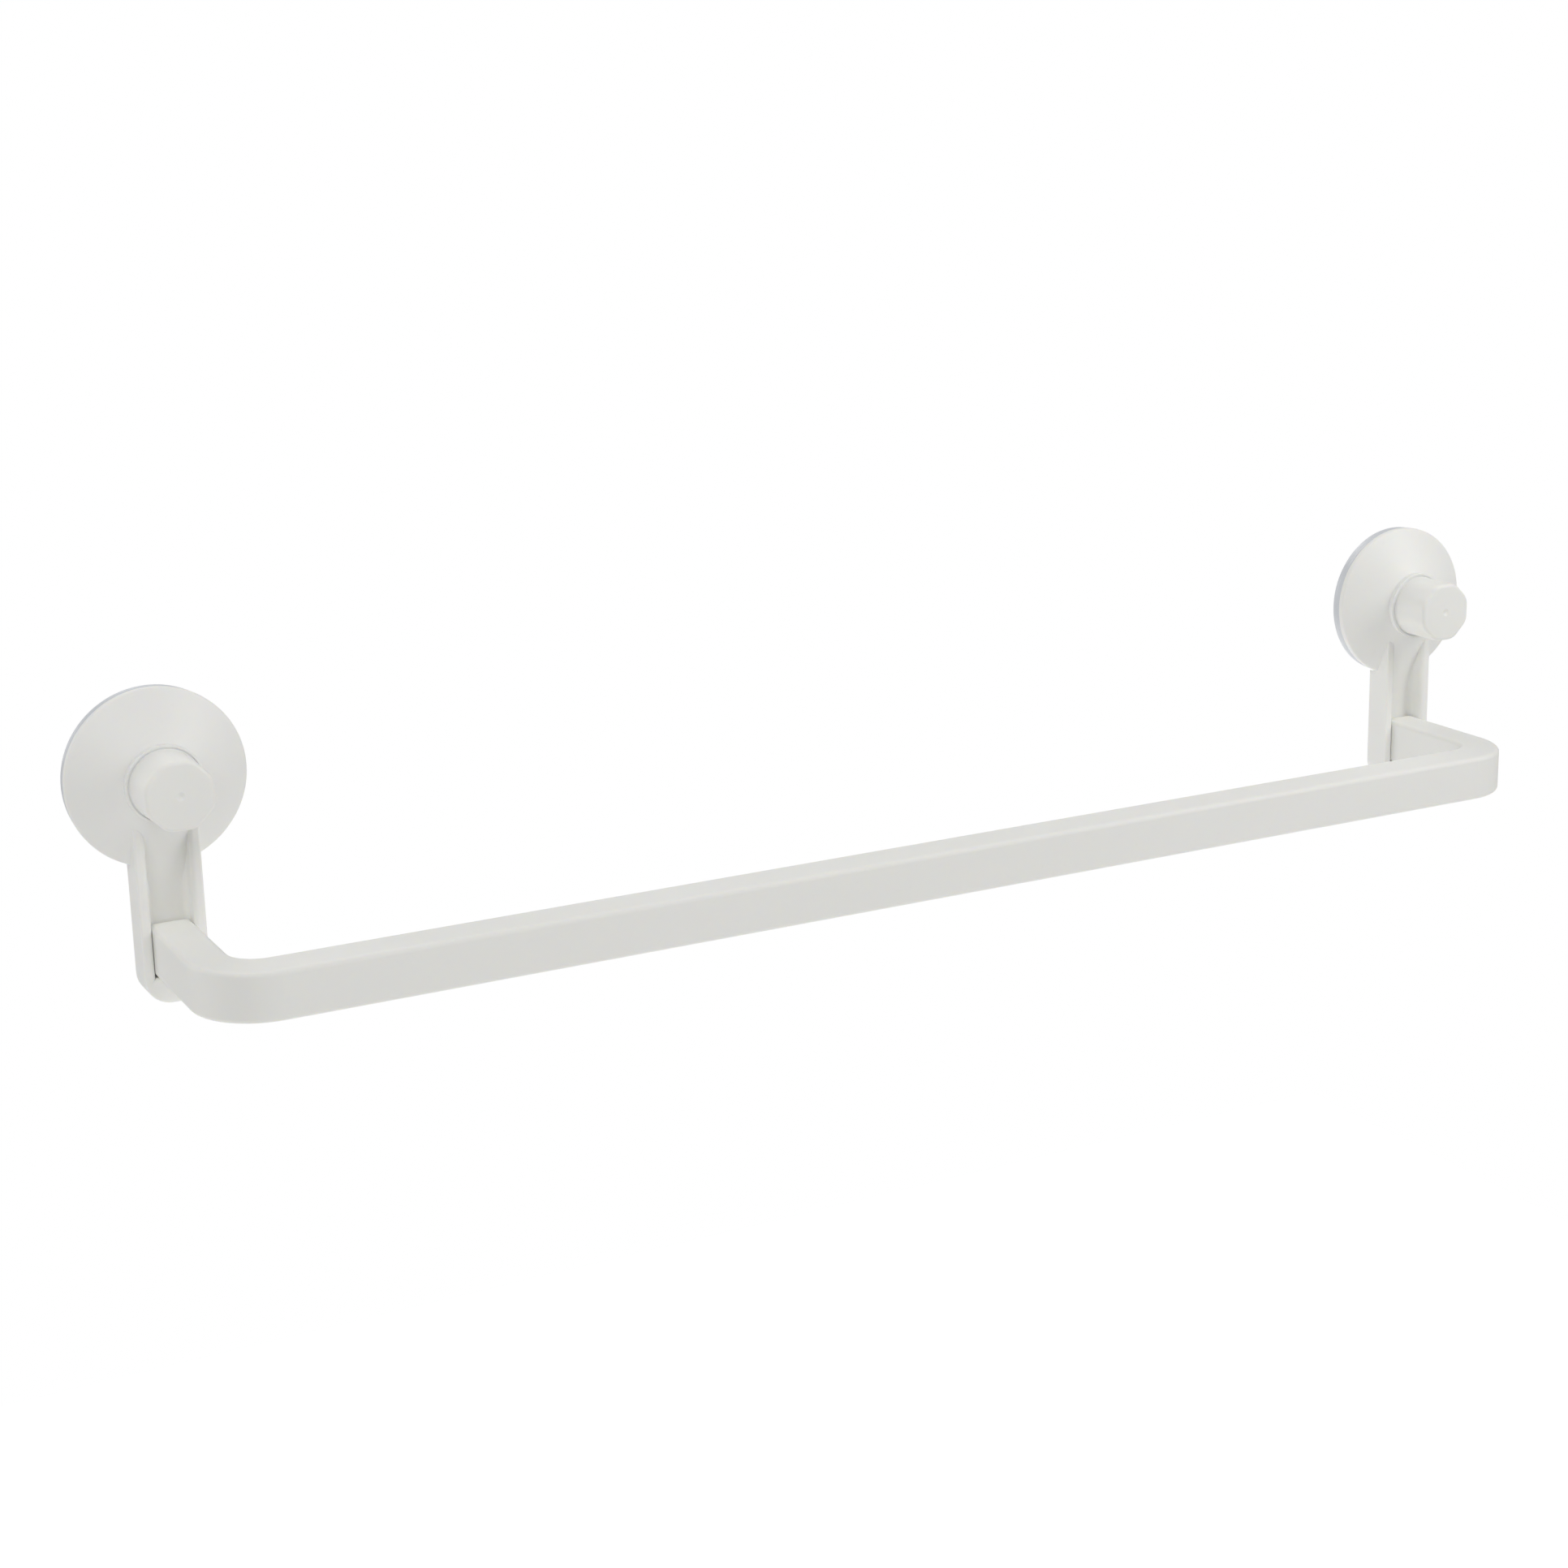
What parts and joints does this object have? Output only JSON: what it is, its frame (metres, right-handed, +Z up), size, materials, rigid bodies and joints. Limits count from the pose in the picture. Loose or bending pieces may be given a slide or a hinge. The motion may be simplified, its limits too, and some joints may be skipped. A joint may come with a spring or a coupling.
{
  "type": "suction grab bar",
  "caption": "Wall rail held by two suction cups: slim white U-shaped bar on channel legs under conical guards, each cup tightened by a screw knob.",
  "frame": {"origin": "on the wall plane, midway between the axes of the two suction cups", "axes": "+X along the rail to the right as seen from the front, +Y into the wall, +Z up"},
  "size_m": [0.6772, 0.0886, 0.1238],
  "materials": {
    "rail_plastic": "satin moulded polystyrene or ABS, warm white",
    "bracket_plastic": "satin moulded ABS, warm white",
    "knob_plastic": "satin moulded ABS, warm white",
    "cup_pvc": "smooth translucent soft PVC, bluish",
    "stud_steel": "stainless steel, machined",
    "nut_brass": "plain brass",
    "washer_nylon": "natural nylon",
    "screw_steel": "stainless steel"
  },
  "bodies": {
    "frame": {"rail": "rail_plastic", "left_bracket": "bracket_plastic", "left_suction_cup": "cup_pvc", "left_knob_washer": "washer_nylon", "left_rail_screws": "screw_steel", "right_bracket": "bracket_plastic", "right_suction_cup": "cup_pvc", "right_knob_washer": "washer_nylon", "right_rail_screws": "screw_steel"},
    "left_stud_body": {"left_cup_stud": "stud_steel"},
    "left_knob_body": {"left_knob": "knob_plastic", "left_knob_nut": "nut_brass"},
    "right_stud_body": {"right_cup_stud": "stud_steel"},
    "right_knob_body": {"right_knob": "knob_plastic", "right_knob_nut": "nut_brass"}
  },
  "joints": [
    {"name": "left_knob_turn", "type": "hinge", "parent": "frame", "child": "left_knob_body", "pos_m": [-0.3032, 0, 0], "axis": [0, 1, 0], "range_deg": [0, 900]},
    {"name": "left_stud_slide", "type": "slide", "parent": "frame", "child": "left_stud_body", "axis": [0, -1, 0], "range_m": [0, 0.005], "deforming": ["left_suction_cup"]},
    {"name": "right_knob_turn", "type": "hinge", "parent": "frame", "child": "right_knob_body", "pos_m": [0.3032, 0, 0], "axis": [0, 1, 0], "range_deg": [0, 900]},
    {"name": "right_stud_slide", "type": "slide", "parent": "frame", "child": "right_stud_body", "axis": [0, -1, 0], "range_m": [0, 0.005], "deforming": ["right_suction_cup"]}
  ],
  "couplings": [
    {"joint": "left_stud_slide", "follows": "left_knob_turn", "m_per_rad": 0.00031831},
    {"joint": "right_stud_slide", "follows": "right_knob_turn", "m_per_rad": 0.00031831}
  ]
}
